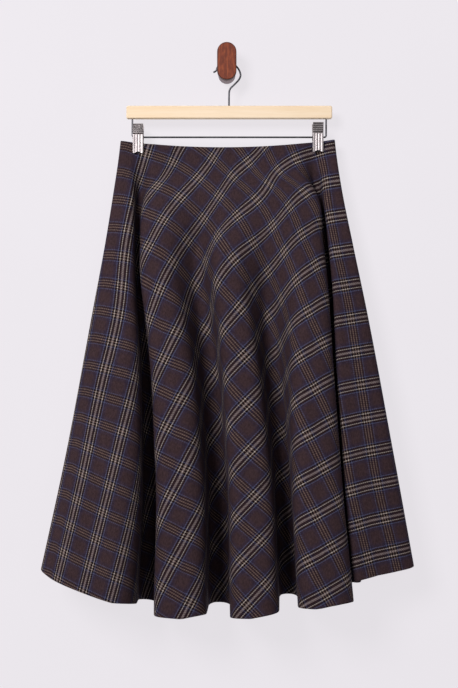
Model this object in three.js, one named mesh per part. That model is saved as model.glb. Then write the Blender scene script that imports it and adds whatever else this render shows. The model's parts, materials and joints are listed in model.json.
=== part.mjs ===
// A-line midi skirt in plaid wool, hung from a two-clip wooden hanger on a wall peg.
// Millimetres, +Z up, +X to the right of the view, +Y into the wall. The wall is the plane y = 0,
// and the origin is the centre of the peg's back face, where the peg meets the wall.
import * as THREE from "three";
import { mergeVertices } from "three/addons/utils/BufferGeometryUtils.js";

// Materials
const PLAID_WOOL = { color: 0x42302f, roughness: 0.95, metalness: 0 };
const ZIP_TAPE = { color: 0x2e2426, roughness: 0.85, metalness: 0 };
const BIRCH = { color: 0xefdcb4, roughness: 0.6, metalness: 0 };
const GUNMETAL = { color: 0x4a4d52, roughness: 0.35, metalness: 0.9 };
const CHROME = { color: 0xc9ccd0, roughness: 0.25, metalness: 0.9 };
const RUBBER = { color: 0x2b2b2d, roughness: 0.8, metalness: 0 };
const PEG_PAINT = { color: 0x8a7478, roughness: 0.7, metalness: 0 };
const RED_WOOD = { color: 0x6d3222, roughness: 0.55, metalness: 0 };

// Clearances
const SEAM_GAP = 0.4;
const SEAT_GAP = 0.3;

// The cut: each panel is a quarter of a flat ring of cloth, measured from its waist edge
const WAIST_RADIUS = 239.5;
const CLOTH = 1.6;
const DEG = Math.PI / 180;

// The waist line, as it hangs from the two clips
const WAIST_LEFT_Z = -119.8;
const WAIST_RIGHT_Z = -117.8;
const WAIST_SAG = 12.5;

// How the cloth hangs, at levels measured down the cloth from the waist
const LEVELS = [0, 24, 90, 180, 300, 540, 790];
const LEFT_SEAM_X = [-184, -186.5, -195, -208, -228, -269, -320];
const LEFT_SEAM_Y = [-28, -29, -36, -44, -55, -71, -80];
const RIGHT_SEAM_X = [187, 189.5, 198.5, 215, 238, 280, 323];
const RIGHT_SEAM_Y = [-28, -29, -36, -44, -54, -67, -75];

// Straight stretches of the front's rings, with the heading of the cloth at each level: 0 goes to the
// right, 90 towards the wall, -90 towards the room
// name, angle in the cut at the waist, at the hem, half width, headings at the seven LEVELS
const FRONT_FOLDS = [
  ["left seam", 0, 0, 0, -90, -92, -96, -100, -104, -108, -110],
  ["left edge", 1.5, 2.2, 0.2, -6, -8, -26, -38, -46, -50, -50],
  ["left panel", 3.6, 7, 1.2, 0, 0, -8, -11, -13, -14, -14],
  ["first fold in", 5.8, 15.8, 1.4, 2, 8, 76, 92, 92, 92, 92],
  ["first fold out", 10.2, 22.8, 1.4, -2, -8, -72, -92, -92, -92, -92],
  ["left lobe", 15, 28, 0.4, 0, 0, -6, -12, -10, -4, -2],
  ["second fold in", 30, 33.6, 1.7, 0, 0, 2, 34, 64, 84, 88],
  ["second fold out", 38, 41.6, 1.7, 0, 0, -4, -50, -74, -87, -91],
  ["middle lobe", 45, 46.9, 0.3, 0, 0, 0, 0, 0, 0, 0],
  ["third fold in", 52, 52.2, 1.7, 0, 0, 0, 18, 60, 83, 87],
  ["third fold out", 60, 59.4, 1.7, 0, 0, 0, -12, -56, -88, -93],
  ["right lobe", 71, 65, 0.4, 0, 0, 6, 10, 10, 6, 4],
  ["last fold in", 78.4, 71.4, 1.3, 2, 10, 88, 97, 102, 106, 107],
  ["last fold out", 81.8, 80.5, 1.3, -2, -10, -80, -93, -101, -105, -107],
  ["right panel", 87, 85.4, 2.2, 0, 0, 4, 8, 12, 14, 15],
  ["right seam", 90, 90, 0, 90, 92, 96, 100, 103, 106, 108],
];

// The back's rings run from the right seam to the left one, flat to the wall with folds inwards
// name, angle in the cut at the waist, at the hem, half width, headings at the seven LEVELS
const BACK_FOLDS = [
  ["right seam", 90, 90, 0, 90, 92, 96, 100, 103, 106, 108],
  ["right edge", 92.8, 91.9, 0.9, 176, 174, 126, 116, 112, 112, 112],
  ["small fold in", 98, 95.9, 0.8, 180, 180, 180, 186, 206, 232, 242],
  ["small fold out", 101, 99.2, 0.8, 180, 180, 180, 174, 154, 128, 118],
  ["first flat", 103.8, 102.2, 0.3, 180, 180, 180, 180, 180, 180, 180],
  ["first fold in", 111.6, 109.2, 1.7, 180, 180, 208, 234, 254, 266, 268],
  ["first fold out", 118, 115.6, 1.7, 180, 180, 152, 126, 106, 94, 92],
  ["second flat", 125.4, 121.8, 1.4, 180, 180, 180, 180, 180, 180, 180],
  ["second fold in", 134, 128.4, 1.7, 180, 180, 208, 224, 240, 266, 268],
  ["second fold out", 141.4, 135.2, 1.7, 180, 180, 152, 136, 120, 94, 92],
  ["third flat", 149, 141.5, 1.6, 180, 180, 180, 180, 180, 180, 180],
  ["third fold in", 159.4, 148.4, 1.7, 180, 180, 194, 204, 218, 262, 268],
  ["third fold out", 165.4, 155.2, 1.7, 180, 180, 166, 156, 142, 98, 92],
  ["fourth flat", 169.6, 162, 2, 180, 180, 180, 180, 180, 180, 180],
  ["last fold in", 172, 168, 0.8, 180, 180, 180, 182, 206, 250, 262],
  ["last fold out", 173.8, 172.6, 0.8, 180, 180, 180, 178, 154, 110, 98],
  ["last flat", 175.3, 175.4, 0.3, 180, 180, 184, 188, 190, 190, 190],
  ["left edge", 177.8, 178, 0.5, 184, 186, 230, 238, 240, 240, 240],
  ["left seam", 180, 180, 0, 270, 268, 264, 260, 256, 252, 250],
];
const FOLD_NARROWING = 0.65;

// Cloth length from waist to hem: angle in the cut, length
const HEM_LENGTHS = [
  [0, 743], [4.5, 760], [10, 783], [18, 785], [28, 804], [37, 796], [46.5, 805], [55, 786],
  [64, 796], [76, 770], [85, 747], [90, 743], [135, 780], [180, 743],
];

// Mesh of the cloth; a ring drops by at least this share of the ring step
const RING_STEP = 10;
const LEAST_DROP = 0.05;
const FRONT_BEND_STEPS = 5;
const BACK_BEND_STEPS = 3;
const SUB_STEPS = 6;
const ROWS = [0, 14, 28, 48, 70, 98, 140, 200, 270, 350, 440, 540, 650, 770];

// Hanger
const HANGER_Y = -28;
const BAR = { left: -173.9, right: 182.5, top: -59.4, bottom: -81.6, depth: 12 };
const BAR_ROUNDING = { corner: 3, edge: 2, facets: 4 };
const ROD_RADIUS = 1.5;
const ROD = { left: -163.8, right: 172.3, z: -113.4, bend: 4, steps: 100 };
const HOOK_RADIUS = 1.55;
const HOOK_PATH = [
  [3.8, BAR.top + SEAT_GAP], [3.8, -46], [4.5, -33], [6.4, -28.7], [14.2, -20.9], [21.2, -13.1],
  [23.9, -6.1], [22, 1.8], [17.6, 8.6], [10.4, 15], [0.3, 17.6], [-10.4, 14.2], [-16.8, 7],
  [-18.2, 2.4], [-23.4, -1.1],
];
const HOOK_STEPS = 48;
const WIRE_FACETS = 8;

// Clips
const CLIPS = [
  { side: "left", x: -153.7, drop: 0 },
  { side: "right", x: 157.9, drop: 2.2 },
];
const CLIP = { width: 18.4, plateTop: -108.6, plateBottom: -142.2, plate: 1.2 };
const GROOVE = { places: [0.5, 0, -0.5], depth: 0.4, halfWidth: 1.1 };
const GRIP = { top: -91.2, bottom: -108.2, lean: 3.4 };
const RIB = { count: 5, height: 0.5, halfWidth: 1.1 };
const PAD = { width: 16, height: 9, depth: 1.3, above: 1.6, corner: 1.5, facets: 3 };
const PINCH = { depth: 3.2, reach: 27, drop: 50 };
const HINGE = { hole: ROD_RADIUS + SEAT_GAP, height: 7, length: 9.6, facets: 16, corner: 1, cornerFacets: 3 };
const WINDOW_MARGIN = { x: 4, z: 8 };

// Concealed zip in the right side seam
const ZIP = { top: 5, length: 190, width: 6, depth: 2, inset: 3.2, stations: 9 };

// Wall peg
const PEG = { radius: 15, back: 0, front: -32.7, facets: 40 };
const CAP = { width: 33.4, height: 65, centre: 15.8, back: -33, front: -45, edge: 1.2, facets: 14 };

// Value at a distance down the cloth, on a smooth curve through the values at the levels
function alongLevels(values, s) {
  const last = LEVELS.length - 2;
  let i = 0;
  while (i < last && s >= LEVELS[i + 1]) i += 1;
  const span = (k) => LEVELS[k + 1] - LEVELS[k];
  const rate = (k) => (values[k + 1] - values[k]) / span(k);
  const slope = (k) => {
    if (k === 0) return rate(0);
    if (k > last) return rate(last);
    return (rate(k - 1) * span(k) + rate(k) * span(k - 1)) / (span(k - 1) + span(k));
  };
  const t = (s - LEVELS[i]) / span(i);
  const u = 1 - t;
  const ends = values[i] * (1 + 2 * t) * u * u + values[i + 1] * t * t * (3 - 2 * t);
  return ends + span(i) * t * u * (slope(i) * u - slope(i + 1) * t);
}

// Share of a fold line that is left above a ring: 1 at the waist, 0 at the lowest level
function topShare(s) {
  const hem = 1 / (WAIST_RADIUS + LEVELS[LEVELS.length - 1]);
  return (1 / (WAIST_RADIUS + s) - hem) / (1 / WAIST_RADIUS - hem);
}

// Ends of the straight stretches of one ring, each with its heading in degrees
function ringKnots(folds, s) {
  const top = topShare(s);
  const knots = [];
  for (const [, atWaist, atHem, half, ...headings] of folds) {
    const middle = atHem + (atWaist - atHem) * top;
    const wide = half * (1 - FOLD_NARROWING * top);
    const heading = alongLevels(headings, s);
    if (half === 0) knots.push({ angle: middle, heading });
    else knots.push({ angle: middle - wide, heading, straight: true }, { angle: middle + wide, heading });
  }
  for (let k = 0; k + 1 < knots.length; k += 1) {
    knots[k].rate = (knots[k + 1].heading - knots[k].heading) / (knots[k + 1].angle - knots[k].angle);
  }
  knots.forEach((knot, k) => {
    const before = k > 0 ? knots[k - 1].rate : knot.rate;
    const after = k + 1 < knots.length ? knot.rate : before;
    if (k === 0 || k + 1 === knots.length) knot.slope = after;
    else knot.slope = before * after > 0 ? (2 * before * after) / (before + after) : 0;
  });
  return knots;
}

// Heading between two knots, at a share of the way
function headingBetween(a, b, share) {
  const width = b.angle - a.angle;
  const rest = 1 - share;
  const ends = a.heading * (1 + 2 * share) * rest * rest + b.heading * share * share * (3 - 2 * share);
  return ends + width * share * rest * (a.slope * rest - b.slope * share);
}

// Points of one ring of cloth, in plan, from one seam to the other
function ring(folds, s, bendSteps, start, end) {
  const knots = ringKnots(folds, s);
  const radius = WAIST_RADIUS + s;
  const points = [{ angle: knots[0].angle, x: 0, y: 0 }];
  let x = 0;
  let y = 0;
  for (let k = 0; k + 1 < knots.length; k += 1) {
    const [a, b] = [knots[k], knots[k + 1]];
    const steps = a.straight ? 1 : bendSteps;
    const arc = (radius * (b.angle - a.angle) * DEG) / (steps * SUB_STEPS);
    for (let i = 1; i <= steps * SUB_STEPS; i += 1) {
      const heading = headingBetween(a, b, (i - 0.5) / (steps * SUB_STEPS)) * DEG;
      x += Math.cos(heading) * arc;
      y += Math.sin(heading) * arc;
      if (i % SUB_STEPS === 0) {
        const angle = a.angle + ((b.angle - a.angle) * i) / (steps * SUB_STEPS);
        points.push({ angle, x, y });
      }
    }
  }
  const widen = (end.x - start.x) / x;
  const drift = end.y - start.y - y;
  const quarter = points[points.length - 1].angle - points[0].angle;
  for (const point of points) {
    const share = (point.angle - points[0].angle) / quarter;
    point.x = start.x + point.x * widen;
    point.y = start.y + point.y + drift * share;
  }
  return points;
}

// How far the clips press the two layers together
function pinch(x, s) {
  let press = 0;
  for (const clip of CLIPS) {
    const away = Math.min(1, Math.abs(x - clip.x) / PINCH.reach);
    press += PINCH.depth * (1 - away ** 2) ** 2 * Math.exp(-((s / PINCH.drop) ** 2));
  }
  return press;
}

function hemLength(angle) {
  let k = 0;
  while (k < HEM_LENGTHS.length - 2 && angle > HEM_LENGTHS[k + 1][0]) k += 1;
  const [a0, l0] = HEM_LENGTHS[k];
  const [a1, l1] = HEM_LENGTHS[k + 1];
  return l0 + ((l1 - l0) * (angle - a0)) / (a1 - a0);
}

// Direction across the cloth at a seam
function seamDirection(headings, s) {
  const heading = alongLevels(headings, s) * DEG;
  return new THREE.Vector3(Math.cos(heading), Math.sin(heading), 0);
}

// Middle surface of a panel: rows from waist to hem, each with its points from seam to seam, drawn in
// by half the seam gap, and the directions across the cloth at its two ends
function panelSurface(folds, bendSteps, isFront) {
  const rings = [];
  const deepest = LEVELS[LEVELS.length - 1] + 2 * RING_STEP;
  for (let s = 0; s <= deepest; s += RING_STEP) {
    const left = new THREE.Vector2(alongLevels(LEFT_SEAM_X, s), alongLevels(LEFT_SEAM_Y, s));
    const right = new THREE.Vector2(alongLevels(RIGHT_SEAM_X, s), alongLevels(RIGHT_SEAM_Y, s));
    const points = isFront ? ring(folds, s, bendSteps, left, right) : ring(folds, s, bendSteps, right, left);
    const towards = isFront ? 1 : -1;
    for (const point of points) point.y += towards * pinch(point.x, s);
    rings.push(points);
  }
  const waistWidth = RIGHT_SEAM_X[0] - LEFT_SEAM_X[0];
  rings[0].forEach((point) => {
    const across = Math.min(1, Math.max(0, (point.x - LEFT_SEAM_X[0]) / waistWidth));
    const line = WAIST_LEFT_Z + (WAIST_RIGHT_Z - WAIST_LEFT_Z) * across;
    point.z = line - WAIST_SAG * 4 * across * (1 - across);
  });
  for (let i = 1; i < rings.length; i += 1) {
    const radius = WAIST_RADIUS + (i - 0.5) * RING_STEP;
    rings[i].forEach((point, j) => {
      const above = rings[i - 1][j];
      const along = radius * (point.angle - above.angle) * DEG;
      const cloth = RING_STEP ** 2 + along ** 2;
      const drop = cloth - (point.x - above.x) ** 2 - (point.y - above.y) ** 2;
      point.z = above.z - Math.sqrt(Math.max(drop, LEAST_DROP * RING_STEP ** 2));
    });
  }
  const atHem = rings[Math.round(LEVELS[LEVELS.length - 1] / RING_STEP)];
  const seams = [folds[0], folds[folds.length - 1]];
  return ROWS.map((row) => {
    const share = row / ROWS[ROWS.length - 1];
    const points = atHem.map((foot, j) => {
      const s = share * hemLength(foot.angle);
      const i = Math.floor(s / RING_STEP);
      const [a, b] = [rings[i][j], rings[i + 1][j]];
      const mix = (key) => a[key] + (b[key] - a[key]) * (s / RING_STEP - i);
      return new THREE.Vector3(mix("x"), mix("y"), mix("z"));
    });
    const ends = seams.map(([, angle, , , ...headings]) => (
      seamDirection(headings, share * hemLength(angle))));
    points[0].addScaledVector(ends[0], SEAM_GAP / 2);
    points[points.length - 1].addScaledVector(ends[1], -SEAM_GAP / 2);
    return { points, ends };
  });
}

// Closed wall of even thickness around a surface of rows; its outer face lies away from the hollow
function wall(rows, thickness) {
  const [high, wide] = [rows.length, rows[0].points.length];
  const at = (i, j) => rows[Math.min(high - 1, Math.max(0, i))].points[j];
  const acrossAt = (i, j) => {
    if (j === 0) return rows[i].ends[0].clone();
    if (j === wide - 1) return rows[i].ends[1].clone();
    return at(i, j + 1).clone().sub(at(i, j - 1));
  };
  const positions = [];
  for (const side of [1, -1]) {
    for (let i = 0; i < high; i += 1) {
      for (let j = 0; j < wide; j += 1) {
        const down = at(i + 1, j).clone().sub(at(i - 1, j));
        const out = down.cross(acrossAt(i, j)).setLength((side * thickness) / 2);
        positions.push(...at(i, j).clone().add(out).toArray());
      }
    }
  }
  const index = [];
  const quad = (a, b, c, d) => index.push(a, b, c, a, c, d);
  const outer = (i, j) => i * wide + j;
  const inner = (i, j) => high * wide + i * wide + j;
  for (let i = 0; i + 1 < high; i += 1) {
    for (let j = 0; j + 1 < wide; j += 1) {
      quad(outer(i, j), outer(i + 1, j), outer(i + 1, j + 1), outer(i, j + 1));
      quad(inner(i, j), inner(i, j + 1), inner(i + 1, j + 1), inner(i + 1, j));
    }
    quad(outer(i, 0), inner(i, 0), inner(i + 1, 0), outer(i + 1, 0));
    quad(outer(i + 1, wide - 1), inner(i + 1, wide - 1), inner(i, wide - 1), outer(i, wide - 1));
  }
  for (let j = 0; j + 1 < wide; j += 1) {
    quad(outer(0, j + 1), inner(0, j + 1), inner(0, j), outer(0, j));
    quad(outer(high - 1, j), inner(high - 1, j), inner(high - 1, j + 1), outer(high - 1, j + 1));
  }
  const geometry = new THREE.BufferGeometry();
  geometry.setAttribute("position", new THREE.Float32BufferAttribute(positions, 3));
  geometry.setIndex(index);
  return geometry;
}

// Closed ribbon with a box section, along stations from top to bottom
function ribbon(stations, width, depth) {
  const positions = [];
  for (const p of stations) {
    for (const [dx, dy] of [[-1, -1], [1, -1], [1, 1], [-1, 1]]) {
      positions.push(p.x + (dx * depth) / 2, p.y + (dy * width) / 2, p.z);
    }
  }
  const index = [];
  const last = (stations.length - 1) * 4;
  for (let k = 0; k < last; k += 4) {
    for (let c = 0; c < 4; c += 1) {
      const d = (c + 1) % 4;
      index.push(k + c, k + 4 + c, k + 4 + d, k + c, k + 4 + d, k + d);
    }
  }
  index.push(0, 1, 2, 0, 2, 3, last, last + 2, last + 1, last, last + 3, last + 2);
  const geometry = new THREE.BufferGeometry();
  geometry.setAttribute("position", new THREE.Float32BufferAttribute(positions, 3));
  geometry.setIndex(index);
  return geometry;
}

const AXES = {
  alongX: [new THREE.Vector3(0, 1, 0), new THREE.Vector3(0, 0, 1), new THREE.Vector3(1, 0, 0)],
  alongY: [new THREE.Vector3(1, 0, 0), new THREE.Vector3(0, 0, 1), new THREE.Vector3(0, -1, 0)],
  alongZ: [new THREE.Vector3(1, 0, 0), new THREE.Vector3(0, 1, 0), new THREE.Vector3(0, 0, 1)],
};

// Outline pushed along an axis from a starting place; a bevel rounds its two faces
function prism(outline, axes, from, length, bevel = 0) {
  const shape = new THREE.Shape(outline.map(([u, v]) => new THREE.Vector2(u, v)));
  const geometry = new THREE.ExtrudeGeometry(shape, {
    depth: length - 2 * bevel,
    bevelEnabled: bevel > 0,
    bevelThickness: bevel,
    bevelSize: bevel,
    bevelOffset: -bevel,
    bevelSegments: 2,
    steps: 1,
  });
  const place = new THREE.Matrix4().makeBasis(...axes);
  place.setPosition(axes[2].clone().multiplyScalar(from + bevel));
  return geometry.applyMatrix4(place);
}

const SAME_POINT = 0.01;

// Outline with round corners, or round ends when the corner is half the width
function roundedOutline(cx, cy, width, height, corner, facets) {
  const points = [];
  const corners = [[1, 1, 0], [-1, 1, 90], [-1, -1, 180], [1, -1, 270]];
  for (const [sx, sy, turn] of corners) {
    for (let k = 0; k <= facets; k += 1) {
      const angle = (turn + (90 * k) / facets) * DEG;
      const px = cx + sx * (width / 2 - corner) + corner * Math.cos(angle);
      const py = cy + sy * (height / 2 - corner) + corner * Math.sin(angle);
      const [lx, ly] = points[points.length - 1] ?? [Infinity, Infinity];
      if (Math.hypot(px - lx, py - ly) > SAME_POINT) points.push([px, py]);
    }
  }
  return points;
}

// Round wire along a path
function wire(path, radius, steps) {
  const section = new THREE.Shape();
  for (let k = 0; k < WIRE_FACETS; k += 1) {
    const angle = (k * 360 * DEG) / WIRE_FACETS;
    const [u, v] = [radius * Math.cos(angle), radius * Math.sin(angle)];
    if (k === 0) section.moveTo(u, v);
    else section.lineTo(u, v);
  }
  section.closePath();
  return new THREE.ExtrudeGeometry(section, { steps, extrudePath: path, bevelEnabled: false });
}

// Points nearer than this are one point
const WELD_DISTANCE = 0.001;
const root = new THREE.Group();
root.name = "a_line_skirt_on_hanger";

function add(name, geometry, look) {
  geometry.deleteAttribute("normal");
  geometry.deleteAttribute("uv");
  const welded = mergeVertices(geometry, WELD_DISTANCE);
  welded.computeVertexNormals();
  const mesh = new THREE.Mesh(welded, new THREE.MeshStandardMaterial({ ...look }));
  mesh.name = name;
  root.add(mesh);
}

// The skirt's two panels
const frontRows = panelSurface(FRONT_FOLDS, FRONT_BEND_STEPS, true);
const backRows = panelSurface(BACK_FOLDS, BACK_BEND_STEPS, false);
add("skirt_front", wall(frontRows, CLOTH), PLAID_WOOL);
add("skirt_back", wall(backRows, CLOTH), PLAID_WOOL);

// The zip lies inside the right seam
const zipStations = [];
for (let k = 0; k < ZIP.stations; k += 1) {
  const s = ZIP.top + (ZIP.length * k) / (ZIP.stations - 1);
  const x = alongLevels(RIGHT_SEAM_X, s) - ZIP.inset;
  zipStations.push(new THREE.Vector3(x, alongLevels(RIGHT_SEAM_Y, s), WAIST_RIGHT_Z - s));
}
add("side_zip", ribbon(zipStations, ZIP.width, ZIP.depth), ZIP_TAPE);

// Wooden bar
const barWidth = BAR.right - BAR.left;
const barHeight = BAR.top - BAR.bottom;
const barX = (BAR.left + BAR.right) / 2;
const barZ = (BAR.top + BAR.bottom) / 2;
const { corner: barCorner, edge: barEdge, facets: barFacets } = BAR_ROUNDING;
const barOutline = roundedOutline(barX, barZ, barWidth, barHeight, barCorner, barFacets);
const barFront = -HANGER_Y - BAR.depth / 2;
add("hanger_bar", prism(barOutline, AXES.alongY, barFront, BAR.depth, barEdge), BIRCH);

// Rod that carries the clips, bent up into the bar at both ends
const rodTop = BAR.bottom - SEAT_GAP;
const rodPath = new THREE.CurvePath();
const rodPoint = (x, z) => new THREE.Vector3(x, HANGER_Y, z);
const bendStart = ROD.z + ROD.bend;
rodPath.add(new THREE.LineCurve3(rodPoint(ROD.left, rodTop), rodPoint(ROD.left, bendStart)));
rodPath.add(new THREE.QuadraticBezierCurve3(
  rodPoint(ROD.left, bendStart), rodPoint(ROD.left, ROD.z), rodPoint(ROD.left + ROD.bend, ROD.z)));
rodPath.add(new THREE.LineCurve3(
  rodPoint(ROD.left + ROD.bend, ROD.z), rodPoint(ROD.right - ROD.bend, ROD.z)));
rodPath.add(new THREE.QuadraticBezierCurve3(
  rodPoint(ROD.right - ROD.bend, ROD.z), rodPoint(ROD.right, ROD.z), rodPoint(ROD.right, bendStart)));
rodPath.add(new THREE.LineCurve3(rodPoint(ROD.right, bendStart), rodPoint(ROD.right, rodTop)));
add("hanger_rod", wire(rodPath, ROD_RADIUS, ROD.steps), GUNMETAL);

// Hook over the peg
const hookPoints = HOOK_PATH.map(([x, z]) => new THREE.Vector3(x, HANGER_Y, z));
const hookPath = new THREE.CatmullRomCurve3(hookPoints, false, "centripetal");
add("hanger_hook", wire(hookPath, HOOK_RADIUS, HOOK_STEPS), GUNMETAL);

// How far a layer of cloth reaches out on its outer face, in a window around a clip
function layerReach(rows, clip, sign, width, bottom) {
  let reach = -Infinity;
  for (const row of rows) {
    for (const p of row.points) {
      const beside = Math.abs(p.x - clip.x) < width / 2 + WINDOW_MARGIN.x;
      if (beside && p.z > bottom - WINDOW_MARGIN.z) reach = Math.max(reach, sign * p.y);
    }
  }
  return reach + CLOTH / 2;
}

// Hinge block in profile, with the hole that the rod runs through
function hingeBlock(clip, front, back) {
  const { height, corner, cornerFacets } = HINGE;
  const outline = roundedOutline((front + back) / 2, ROD.z, back - front, height, corner, cornerFacets);
  const shape = new THREE.Shape(outline.map(([u, v]) => new THREE.Vector2(u, v)));
  const hole = [];
  for (let k = 0; k < HINGE.facets; k += 1) {
    const angle = (-k * 360 * DEG) / HINGE.facets;
    const u = HANGER_Y + HINGE.hole * Math.cos(angle);
    hole.push(new THREE.Vector2(u, ROD.z + HINGE.hole * Math.sin(angle)));
  }
  shape.holes.push(new THREE.Path(hole));
  const geometry = new THREE.ExtrudeGeometry(shape, { depth: HINGE.length, bevelEnabled: false });
  const place = new THREE.Matrix4().makeBasis(...AXES.alongX);
  place.setPosition(clip.x - HINGE.length / 2, 0, 0);
  return geometry.applyMatrix4(place);
}

// Plate with upright grooves, seen in plan
function platePlan(clip, inner, sign) {
  const outer = inner + sign * CLIP.plate;
  const half = CLIP.width / 2;
  const points = [[clip.x - half, inner], [clip.x + half, inner], [clip.x + half, outer]];
  for (const share of GROOVE.places) {
    const x = clip.x + share * half;
    points.push([x + GROOVE.halfWidth, outer]);
    points.push([x, outer - sign * GROOVE.depth]);
    points.push([x - GROOVE.halfWidth, outer]);
  }
  points.push([clip.x - half, outer]);
  return sign > 0 ? points : points.reverse();
}

// Finger grip in profile: it leans away from the rod and has ribs across it
function gripProfile(inner, sign) {
  const height = GRIP.top - GRIP.bottom;
  const lean = (z) => (sign * GRIP.lean * (z - GRIP.bottom)) / height;
  const points = [[inner, GRIP.bottom]];
  points.push([inner + sign * CLIP.plate, GRIP.bottom]);
  for (let k = 0; k < RIB.count; k += 1) {
    const z = GRIP.bottom + (height * (k + 0.5)) / RIB.count;
    const face = inner + sign * CLIP.plate + lean(z);
    points.push([face, z - RIB.halfWidth]);
    points.push([face + sign * RIB.height, z]);
    points.push([face, z + RIB.halfWidth]);
  }
  points.push([inner + sign * CLIP.plate + lean(GRIP.top), GRIP.top]);
  points.push([inner + lean(GRIP.top), GRIP.top]);
  return sign > 0 ? points : points.reverse();
}

// Two sprung clips on the rod
for (const clip of CLIPS) {
  const layers = [
    { face: "front", rows: frontRows, sign: -1 },
    { face: "back", rows: backRows, sign: 1 },
  ];
  const left = clip.x - CLIP.width / 2;
  const top = CLIP.plateTop + clip.drop;
  const bottom = CLIP.plateBottom + clip.drop;
  const innerFaces = [];
  for (const { face, rows, sign } of layers) {
    const underPad = layerReach(rows, clip, sign, PAD.width, bottom) + SEAT_GAP;
    const underPlate = layerReach(rows, clip, sign, CLIP.width, bottom) + SEAT_GAP;
    const cloth = sign * underPad;
    const padOuter = cloth + sign * PAD.depth;
    const inner = sign * Math.max(underPlate, underPad + PAD.depth + SEAT_GAP);
    innerFaces.push(inner);
    const name = `${clip.side}_clip_${face}`;
    add(`${name}_plate`, prism(platePlan(clip, inner, sign), AXES.alongZ, bottom, top - bottom), CHROME);
    const grip = prism(gripProfile(inner, sign), AXES.alongX, left, CLIP.width);
    add(`${name}_grip`, grip.translate(0, 0, clip.drop), CHROME);
    const padZ = bottom + PAD.above + PAD.height / 2;
    const padOutline = roundedOutline(clip.x, padZ, PAD.width, PAD.height, PAD.corner, PAD.facets);
    const padFrom = -Math.max(cloth, padOuter);
    add(`${name}_pad`, prism(padOutline, AXES.alongY, padFrom, PAD.depth), RUBBER);
  }
  const [front, back] = innerFaces;
  add(`${clip.side}_clip_hinge`, hingeBlock(clip, front + SEAT_GAP, back - SEAT_GAP), CHROME);
}

// Wall peg: a round post and a stadium-shaped cap
const pegOutline = roundedOutline(0, 0, 2 * PEG.radius, 2 * PEG.radius, PEG.radius, PEG.facets / 4);
add("peg_post", prism(pegOutline, AXES.alongY, PEG.back, PEG.back - PEG.front), PEG_PAINT);
const capOutline = roundedOutline(0, CAP.centre, CAP.width, CAP.height, CAP.width / 2, CAP.facets / 2);
add("peg_cap", prism(capOutline, AXES.alongY, -CAP.back, CAP.back - CAP.front, CAP.edge), RED_WOOD);

export default root;
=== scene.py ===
# %% [markdown]
# A plaid A-line midi skirt hangs by its waist from a two-clip wooden hanger, and the hanger's hook
# goes over a peg on a pale wall. The packed CAD model gives every piece its place and size, so the
# first step loads it and keeps its box. Everything that follows is in metres, in the same frame:
# the wall is the plane y = 0, the room is towards -Y, and Z points up.

# %% Load the frame
import json
import bpy
import numpy as np
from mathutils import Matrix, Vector


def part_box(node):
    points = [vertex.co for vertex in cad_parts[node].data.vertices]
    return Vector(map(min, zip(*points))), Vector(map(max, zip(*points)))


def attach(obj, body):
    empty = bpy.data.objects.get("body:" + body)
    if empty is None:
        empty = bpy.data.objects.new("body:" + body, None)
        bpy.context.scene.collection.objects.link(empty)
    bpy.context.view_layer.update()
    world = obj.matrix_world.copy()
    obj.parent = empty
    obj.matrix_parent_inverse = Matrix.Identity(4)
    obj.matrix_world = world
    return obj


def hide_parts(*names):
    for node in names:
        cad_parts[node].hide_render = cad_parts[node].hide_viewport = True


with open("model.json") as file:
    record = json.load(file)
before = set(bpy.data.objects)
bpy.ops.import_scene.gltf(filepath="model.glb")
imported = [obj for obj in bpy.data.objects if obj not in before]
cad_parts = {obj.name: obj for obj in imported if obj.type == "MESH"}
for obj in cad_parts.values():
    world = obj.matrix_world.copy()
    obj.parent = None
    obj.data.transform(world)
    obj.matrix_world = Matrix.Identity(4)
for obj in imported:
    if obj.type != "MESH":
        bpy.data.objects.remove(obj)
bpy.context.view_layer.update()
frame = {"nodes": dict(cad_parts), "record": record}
nodes = frame["nodes"]
MM = 0.001

# %% [markdown]
# The camera comes first, so that each later choice can be judged in the picture's own view. It stood
# straight in front of the hanger, level, with the lens axis at the middle of the picture. Its
# distance and the lens follow from how large the hanger and the hem are in the picture.

# %% Camera
camera_data = bpy.data.cameras.new("camera")
SENSOR_MM = 36.0
camera_data.sensor_width = SENSOR_MM
camera_data.sensor_fit = "AUTO"
camera = bpy.data.objects.new("camera", camera_data)
bpy.context.collection.objects.link(camera)
CAMERA_AT = Vector((0.0038, -2.178, -0.472))
# One pixel of the picture is PIXEL_MM wide on a plane that is FOCUS_PLANE metres from the lens
PIXEL_MM = 1.735
FOCUS_PLANE = 2.150
PICTURE = (458, 688)
camera_data.lens = SENSOR_MM * FOCUS_PLANE / (PICTURE[1] * PIXEL_MM * MM)
camera.location = CAMERA_AT
camera.rotation_euler = (np.pi / 2, 0, 0)
bpy.context.scene.camera = camera
print("lens", round(camera_data.lens, 1), "mm")

# %% [markdown]
# A hanging skirt is a tube of cloth. At each distance s down the cloth the flat cut has a ring of a
# known length, and the folds are where the hanging ring turns in and out. So each ring is drawn as a
# line of that length, whose heading swings from one straight stretch to the next, and is then fitted
# between the two side seams. The table says where the stretches are in the cut, how wide they are,
# and which way the cloth runs there at seven levels. This is the same drape as the CAD model's, on a
# finer grid.

# %% The cut and its folds
WAIST_RADIUS = 239.5
DEG = np.pi / 180
LEVELS = np.array([0, 24, 90, 180, 300, 540, 790], float)
LEFT_SEAM_X = [-184, -186.5, -195, -208, -228, -269, -320]
LEFT_SEAM_Y = [-28, -29, -36, -44, -55, -71, -80]
RIGHT_SEAM_X = [187, 189.5, 198.5, 215, 238, 280, 323]
RIGHT_SEAM_Y = [-28, -29, -36, -44, -54, -67, -75]
WAIST_LEFT_Z, WAIST_RIGHT_Z, WAIST_SAG = -119.8, -117.8, 12.5

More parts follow.
